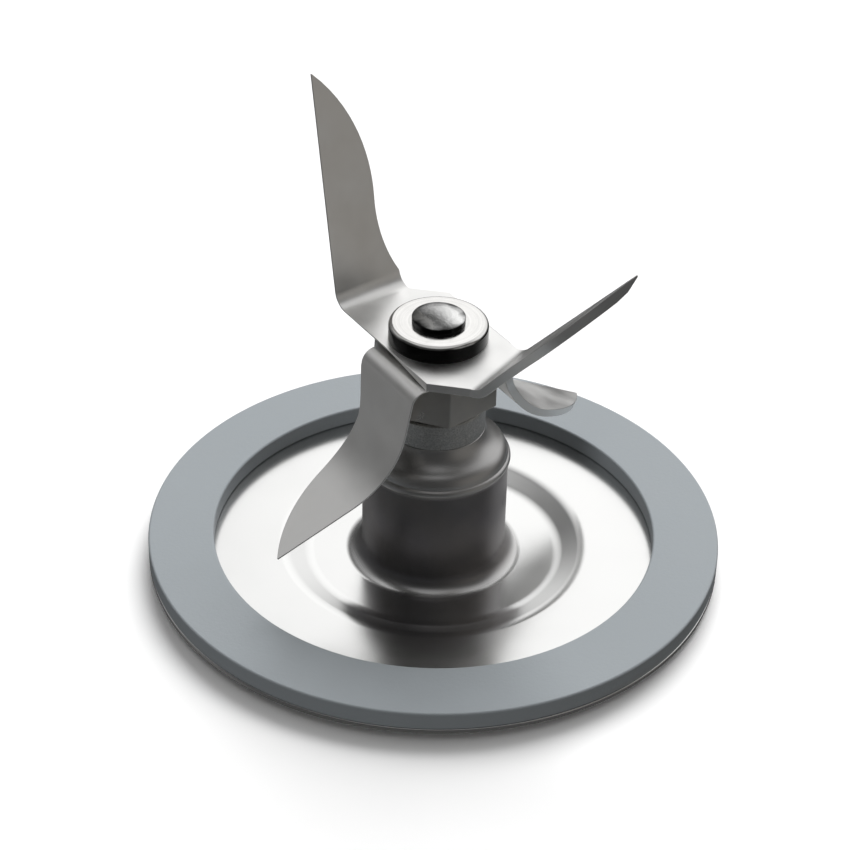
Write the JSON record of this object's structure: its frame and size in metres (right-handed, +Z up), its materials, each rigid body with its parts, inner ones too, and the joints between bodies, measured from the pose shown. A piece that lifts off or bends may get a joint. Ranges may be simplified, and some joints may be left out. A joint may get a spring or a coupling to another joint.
{
  "type": "blender blade assembly",
  "caption": "Blender cutter: crossed steel blades riveted on a spindle that turns in the bearing tower of a drawn steel base plate, with a rubber sealing ring and a square drive socket below.",
  "frame": {"origin": "on the spindle's axis, at the plane that the base plate stands on", "axes": "+Z up along the spindle towards the blades; the steep wing of the upper blade points 123 degrees round from +X"},
  "size_m": [0.0604, 0.0604, 0.0505],
  "materials": {
    "polished_plate": "polished stainless sheet",
    "gasket_rubber": "matt, moulded",
    "sintered_iron": "fine matt, oil soaked",
    "seal_rubber": "matt",
    "sintered_bronze": "fine matt, oil soaked",
    "felt": "pressed wool felt",
    "coupling_steel": "turned, broached",
    "washer_plastic": "moulded",
    "spindle_steel": "ground, riveted head",
    "spacer_steel": "drawn hexagon bar",
    "blade_steel": "satin stainless sheet, ground edge",
    "washer_steel": "polished"
  },
  "bodies": {
    "base": {"base_plate": "polished_plate", "sealing_gasket": "gasket_rubber", "upper_bush": "sintered_iron", "shaft_seal": "seal_rubber", "lower_bush": "sintered_bronze", "oil_felt": "felt"},
    "rotor": {"spindle": "spindle_steel", "drive_coupling": "coupling_steel", "lower_thrust_washer": "washer_plastic", "upper_thrust_washer": "washer_plastic", "hex_spacer": "spacer_steel", "lower_blade": "blade_steel", "upper_blade": "blade_steel", "clamp_washer": "washer_steel"}
  },
  "joints": [
    {"name": "blade_spin", "type": "hinge", "parent": "base", "child": "rotor", "pos_m": [0, 0, 0], "axis": [0, 0, 1], "continuous": true}
  ]
}
